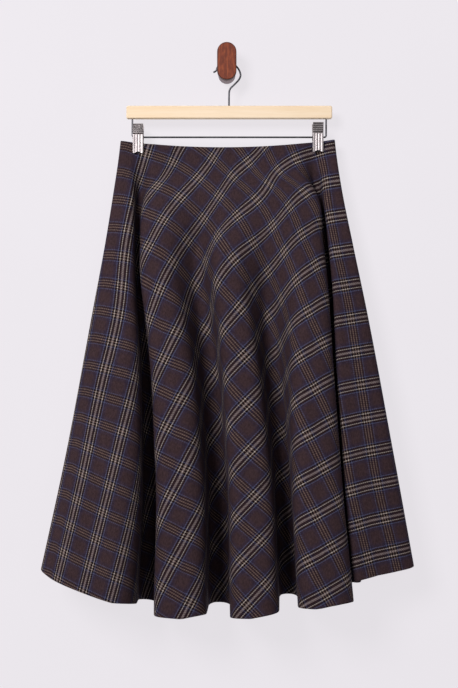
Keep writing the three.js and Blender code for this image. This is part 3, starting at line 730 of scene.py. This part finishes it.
def peg_paint():
    """Grey mauve colour on a turned dowel, with the wood's long grain faint in it."""
    net = Net("peg_paint", Roughness=0.6)
    at = net.node("ShaderNodeTexCoord").outputs["Object"]
    grain = net.noise(net.stretch(at, (500, 60, 500)), 1.0, 3.0, 0.6)
    colour = net.ramp(grain, [(0.3, srgb(132, 116, 122)), (0.7, srgb(158, 142, 148))])
    net.join(colour, net.shader.inputs["Base Color"])
    net.join(net.math("MULTIPLY_ADD", grain, 0.2, 0.5), net.shader.inputs["Roughness"])
    net.bump(grain, 0.00008, 0.5)
    return net.material


cap_low, cap_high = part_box("peg_cap")
cap_half_width, cap_half_height = (cap_high[0] - cap_low[0]) / 2, (cap_high[2] - cap_low[2]) / 2
looks["red_wood"] = red_wood((cap_low[2] + cap_high[2]) / 2, cap_half_height, cap_half_width)
looks["peg_paint"] = peg_paint()
print("cap", round(2 * cap_half_width / MM, 1), "by", round(2 * cap_half_height / MM, 1), "mm")


# %% [markdown]
# The metal parts are steel. The hook and rod are dark and satin, drawn wire with faint lines along
# it; the clips are bright plated sheet with a soft, slightly uneven shine from handling.

# %% Metals and rubber
def steel(name, low, high, rough_low, rough_high, along):
    """Plated steel: fine noise stretched along the piece moves its colour and its roughness."""
    net = Net(name, Metallic=1.0)
    at = net.node("ShaderNodeTexCoord").outputs["Object"]
    lines = net.noise(net.stretch(at, along), 1.0, 3.0, 0.6)
    smears = net.noise(at, 90.0, 2.0, 0.5)
    net.join(net.ramp(smears, [(0.35, low), (0.65, high)]), net.shader.inputs["Base Color"])
    rough = net.math("ADD", net.math("MULTIPLY", lines, rough_high - rough_low), rough_low)
    net.join(net.math("MULTIPLY_ADD", smears, 0.08, rough), net.shader.inputs["Roughness"])
    net.bump(lines, 0.00003, 0.4)
    return net.material


def matte(name, low, high, scale, rough):
    """Matte rubber or woven tape: fine speckle in colour and height."""
    net = Net(name, Roughness=rough)
    at = net.node("ShaderNodeTexCoord").outputs["Object"]
    speckle = net.noise(at, scale, 3.0, 0.6)
    net.join(net.ramp(speckle, [(0.35, low), (0.65, high)]), net.shader.inputs["Base Color"])
    net.join(net.math("MULTIPLY_ADD", speckle, 0.15, rough - 0.08), net.shader.inputs["Roughness"])
    net.bump(speckle, 0.0001, 0.5)
    return net.material


WIRE_GRAIN, SHEET_GRAIN = (900, 900, 60), (700, 700, 50)
looks["gunmetal"] = steel("gunmetal", srgb(66, 66, 70), srgb(94, 94, 99), 0.28, 0.45, WIRE_GRAIN)
looks["chrome"] = steel("chrome", srgb(200, 197, 198), srgb(218, 216, 216), 0.3, 0.42, SHEET_GRAIN)
looks["rubber"] = matte("rubber", srgb(34, 34, 36), srgb(50, 50, 52), 900.0, 0.8)
looks["zip_tape"] = matte("zip_tape", srgb(38, 30, 34), srgb(52, 42, 46), 1400.0, 0.85)
slots = {row["node"]: row["material_slot"] for row in frame["record"]["subparts"]}
for name, node in nodes.items():
    look = looks.get(slots[name], wool)
    node.data.materials.clear()
    node.data.materials.append(look)
print("finishes:", ", ".join(looks))


# %% [markdown]
# The rod and the hook are round wire. The CAD wire has eight sides, which is enough for contact, but
# the eye sees its flats. Both wires lie in one upright plane, so a circle carried along the path
# always has Y as one of its directions, and it can't twist. Each end is domed, as a cut and tumbled
# wire is.

# %% Round wire
WIRE_SIDES, DOME_RINGS, DOME_TIP = 20, 4, 0.02
SPAN_STEPS = 40


def smooth_path(points, count):
    """Points at even distances along a centripetal spline through the given ones. On each span the
    curve is a blend of blends, each running evenly from one point's share t to another's."""
    p = np.asarray(points, float)
    p = np.vstack([2 * p[0] - p[1], p, 2 * p[-1] - p[-2]])
    t = np.concatenate([[0], np.cumsum(np.sqrt(np.linalg.norm(np.diff(p, axis=0), axis=1)))])
    fine = []
    for k in range(1, len(p) - 2):
        x = np.linspace(t[k], t[k + 1], SPAN_STEPS, endpoint=False)[:, None]

        def blend(i, j, a, b):
            return (t[j] - x) / (t[j] - t[i]) * a + (x - t[i]) / (t[j] - t[i]) * b

        a1, a2, a3 = (blend(m - 1, m, p[m - 1], p[m]) for m in (k, k + 1, k + 2))
        b1, b2 = blend(k - 1, k + 1, a1, a2), blend(k, k + 2, a2, a3)
        fine.append(blend(k, k + 1, b1, b2))
    return even(np.vstack([*fine, p[-2]]), count)


def even(path, count):
    """The same path at even distances along its length."""
    length = np.concatenate([[0], np.cumsum(np.linalg.norm(np.diff(path, axis=0), axis=1))])
    at = np.linspace(0, length[-1], count)
    return np.stack([np.interp(at, length, path[:, k]) for k in range(3)], axis=-1)


def wire(name, path, radius):
    """Circle of the radius at each station, square to the path; in the flat plane y = constant the
    circle's two directions are Y and the path's own normal. Both ends close in a half ball."""
    tangent = np.gradient(path, axis=0)
    tangent /= np.linalg.norm(tangent, axis=1, keepdims=True)
    side = np.array([0.0, 1.0, 0.0])
    normal = np.cross(tangent, side)
    caps = np.linspace(0, np.pi / 2, DOME_RINGS, endpoint=False)
    head = path[0] + (radius - radius * np.cos(caps))[:, None] * tangent[0]
    tail = path[-1] - (radius - radius * np.cos(caps[::-1]))[:, None] * tangent[-1]
    scale = np.concatenate([np.sin(caps), np.ones(len(path) - 4), np.sin(caps[::-1])])
    scale = np.maximum(scale, DOME_TIP)
    path = np.vstack([head, path[2:-2], tail])
    first, last = (np.repeat(end, DOME_RINGS, 0) for end in (normal[:1], normal[-1:]))
    normal = np.vstack([first, normal[2:-2], last])
    turn = np.arange(WIRE_SIDES) * 2 * np.pi / WIRE_SIDES
    ring = (np.cos(turn)[None, :, None] * normal[:, None, :] + np.sin(turn)[None, :, None] * side)
    points = path[:, None, :] + radius * scale[:, None, None] * ring
    n = len(path)
    a = np.arange(n * WIRE_SIDES).reshape(n, WIRE_SIDES)
    b = np.roll(a, -1, axis=1)
    faces = np.stack([a[:-1], b[:-1], b[1:], a[1:]], -1).reshape(-1, 4).tolist()
    faces += [a[0].tolist()[::-1], a[-1].tolist()]
    mesh = bpy.data.meshes.new(name)
    mesh.from_pydata(points.reshape(-1, 3) * MM, [], faces)
    mesh.polygons.foreach_set("use_smooth", np.ones(len(faces), bool))
    mesh.update()
    piece = bpy.data.objects.new(name, mesh)
    bpy.context.collection.objects.link(piece)
    return piece


print("each wire has", WIRE_SIDES, "sides")

# %% [markdown]
# The hook's route is a list of points read off the wire's own curve: up from the bar, a kink to the
# side, then round over the peg and out to the tip. The rod goes down from the bar at one end, along
# under it, and up again, with a small bend at each corner. Both keep the CAD model's numbers.

# %% Hook and rod
HANGER_Y = -28.0
HOOK_RADIUS, ROD_RADIUS = 1.55, 1.5
HOOK_STATIONS, ROD_STATIONS, BEND_STATIONS = 140, 420, 12
BAR_TOP, BAR_BOTTOM, SEAT_GAP = -59.4, -81.6, 0.3
HOOK_PATH = [
    (3.8, BAR_TOP + SEAT_GAP), (3.8, -46), (4.5, -33), (6.4, -28.7), (14.2, -20.9), (21.2, -13.1),
    (23.9, -6.1), (22, 1.8), (17.6, 8.6), (10.4, 15), (0.3, 17.6), (-10.4, 14.2), (-16.8, 7),
    (-18.2, 2.4), (-23.4, -1.1),
]
ROD_LEFT, ROD_RIGHT, ROD_Z, ROD_BEND = -163.8, 172.3, -113.4, 4.0
hook_path = smooth_path([(x, HANGER_Y, z) for x, z in HOOK_PATH], HOOK_STATIONS)
hook = wire("hook_wire", hook_path, HOOK_RADIUS)


def rod_line():
    """Down from the bar, round a bend, along, round a bend and up again: straight stretches joined
    by parabolas through the corners."""
    top = BAR_BOTTOM - SEAT_GAP
    t = np.linspace(0, 1, BEND_STATIONS)[:, None]

    def bend(a, corner, b):
        a, corner, b = (np.array(v, float) for v in (a, corner, b))
        return a * (1 - t) ** 2 + 2 * corner * t * (1 - t) + b * t * t

    left = bend((ROD_LEFT, ROD_Z + ROD_BEND), (ROD_LEFT, ROD_Z), (ROD_LEFT + ROD_BEND, ROD_Z))
    right = bend((ROD_RIGHT - ROD_BEND, ROD_Z), (ROD_RIGHT, ROD_Z), (ROD_RIGHT, ROD_Z + ROD_BEND))
    flat = np.vstack([[(ROD_LEFT, top)], left, right, [(ROD_RIGHT, top)]])
    path = np.stack([flat[:, 0], np.full(len(flat), HANGER_Y), flat[:, 1]], axis=-1)
    return even(path, ROD_STATIONS)


rod = wire("rod_wire", rod_line(), ROD_RADIUS)
for piece, node in ((hook, "hanger_hook"), (rod, "hanger_rod")):
    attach(piece, "root")
    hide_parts(node)
    piece.data.materials.append(looks["gunmetal"])
print("wires:", len(hook.data.polygons), "and", len(rod.data.polygons), "faces")

# %% [markdown]
# A skirt hanger's clip is two pieces of pressed sheet steel on each side, held on the rod by a
# spring. The lower one, the plate, has three upright grooves that stiffen it and an arch at its foot
# over the rubber pad. The upper one, the grip, leans out and has ribs for the thumb. A press leaves
# round edges, so each is a grid whose outer face sinks by a smooth depth, in the CAD piece's own box.

# %% Pressed clips
SHEET_STEEL, PRESS_EDGE, PRESS_GRID = 1.2, 0.7, 81
GROOVE_PLACES, GROOVE_DEPTH, GROOVE_WIDTH, GROOVE_FADE = (-0.5, 0.0, 0.5), 0.45, 0.8, 2
ARCH_HEIGHT, ARCH_HALF, ARCH_FADE = 3.0, 0.62, 6
GRIP_LEAN, GRIP_RIBS, RIB_HEIGHT = 3.4, 5, 0.9


def pressed(name, node, sign, is_grip):
    """u runs from -1 to 1 across the piece and v from 0 to 1 up it. The inner face is a plane that
    leans by GRIP_LEAN v on a grip. The outer face is SHEET_STEEL further out, plus RIB_HEIGHT
    sin^2(pi GRIP_RIBS v) on a grip or minus GROOVE_DEPTH exp(-(distance / GROOVE_WIDTH)^2) for each
    groove of a plate, and it sinks by a quarter circle of radius PRESS_EDGE at the rim. A plate is
    raised by ARCH_HEIGHT (1 - (u / ARCH_HALF)^2) (1 - v)^ARCH_FADE, which is the arch at its foot."""
    low, high = (np.array(corner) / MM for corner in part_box(node))
    close_at_edges = np.sin(np.linspace(-1, 1, PRESS_GRID) * np.pi / 2)
    u, v = np.meshgrid(close_at_edges, 0.5 - 0.5 * close_at_edges)
    half, tall = (high[0] - low[0]) / 2, high[2] - low[2]
    x = (high[0] + low[0]) / 2 - sign * half * u
    z = low[2] + tall * v
    rim = np.minimum(half * (1 - np.abs(u)), tall * np.minimum(v, 1 - v))
    inside = np.clip(PRESS_EDGE - rim, 0, None)
    sink = PRESS_EDGE - np.sqrt(np.clip(PRESS_EDGE ** 2 - inside ** 2, 0, None))
    inner_y = high[1] if sign < 0 else low[1]
    thick = SHEET_STEEL - sink
    lean = 0.0
    if is_grip:
        lean = GRIP_LEAN * v
        rib = RIB_HEIGHT * np.sin(np.pi * GRIP_RIBS * v) ** 2
        thick = thick + rib * np.clip(rim / PRESS_EDGE, 0, 1)
    else:
        for place in GROOVE_PLACES:
            away = (u - place) * half
            groove = GROOVE_DEPTH * np.exp(-(away / GROOVE_WIDTH) ** 2)
            thick = thick - groove * np.clip(rim / GROOVE_FADE, 0, 1)
        z = z + ARCH_HEIGHT * np.clip(1 - (u / ARCH_HALF) ** 2, 0, None) * (1 - v) ** ARCH_FADE
    inner = np.stack([x, inner_y + sign * lean + 0 * u, z], -1)
    outer = inner + np.stack([0 * u, sign * thick, 0 * u], -1)
    return wall_mesh(name, outer, inner, np.zeros(u.shape + (2,)))


# The plates and grips take the clips' plated steel in darker tones: painted shade, so that the front
# sheets show less reflection of the bright surround.
PRESSED_SHADE_LOW, PRESSED_SHADE_HIGH = srgb(150, 143, 144), srgb(166, 159, 159)
looks["pressed"] = steel("pressed_steel_painted_shade", PRESSED_SHADE_LOW, PRESSED_SHADE_HIGH, 0.28, 0.4, SHEET_GRAIN)
for side in ("left", "right"):
    for face, sign in (("front", -1), ("back", 1)):
        for kind in ("plate", "grip"):
            node = f"{side}_clip_{face}_{kind}"
            piece = pressed(f"{node}_pressed", node, sign, kind == "grip")
            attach(piece, "root")
            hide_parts(node)
            piece.data.materials.append(looks["pressed"])
print("clips pressed from", SHEET_STEEL, "mm sheet")

# %% [markdown]
# The wall is a plain pale plane behind the peg, a little warm and lilac as in a product picture. It isn't
# part of the object. The light is soft: a large window of light from the upper left in front, a weaker one
# from the right, and an even pale surround.

# %% Wall and light
WALL_REACH = 4.0
WALL_Y = 0.0006
wall_mesh_data = bpy.data.meshes.new("wall")
corners = [(x * WALL_REACH, WALL_Y, z * WALL_REACH) for x, z in ((-1, -1), (1, -1), (1, 1), (-1, 1))]
wall_mesh_data.from_pydata(corners, [], [(0, 1, 2, 3)])
backdrop = bpy.data.objects.new("wall", wall_mesh_data)
bpy.context.collection.objects.link(backdrop)
plaster = Net("plaster", Roughness=0.9, Emission_Strength=0.86)
plaster.shader.inputs["Emission Color"].default_value = (*srgb(240, 236, 241), 1)
at = plaster.node("ShaderNodeTexCoord").outputs["Object"]
grain = plaster.noise(at, 3.0, 3.0, 0.5)
plaster.join(plaster.ramp(grain, [(0.3, srgb(80, 78, 81)), (0.7, srgb(85, 83, 86))]),
             plaster.shader.inputs["Base Color"])
backdrop.data.materials.append(plaster.material)


def lamp(name, at, aim, size, watts, tint):
    """Square soft light at a place, turned towards another place."""
    data = bpy.data.lights.new(name, "AREA")
    data.shape = "SQUARE"
    data.size = size
    data.energy = watts
    data.color = tint
    made = bpy.data.objects.new(name, data)
    made.location = at
    made.rotation_mode = "QUATERNION"
    made.rotation_quaternion = (Vector(aim) - Vector(at)).to_track_quat("-Z", "Y")
    bpy.context.collection.objects.link(made)
    return made


SKIRT_MIDDLE = (0.0, -0.05, -0.45)
lamp("key", (-1.35, -2.7, 0.9), SKIRT_MIDDLE, size=1.1, watts=94, tint=(1.0, 0.98, 0.99))
lamp("fill", (0.7, -2.9, 0.3), SKIRT_MIDDLE, size=1.2, watts=8, tint=(0.98, 0.98, 1.0))
world = bpy.data.worlds.new("studio")
world.use_nodes = True
surround = world.node_tree.nodes["Background"].inputs
surround["Color"].default_value = (0.96, 0.95, 0.98, 1)
surround["Strength"].default_value = 0.16
bpy.context.scene.world = world
bpy.context.scene.view_settings.view_transform = "Standard"

# %% [markdown]
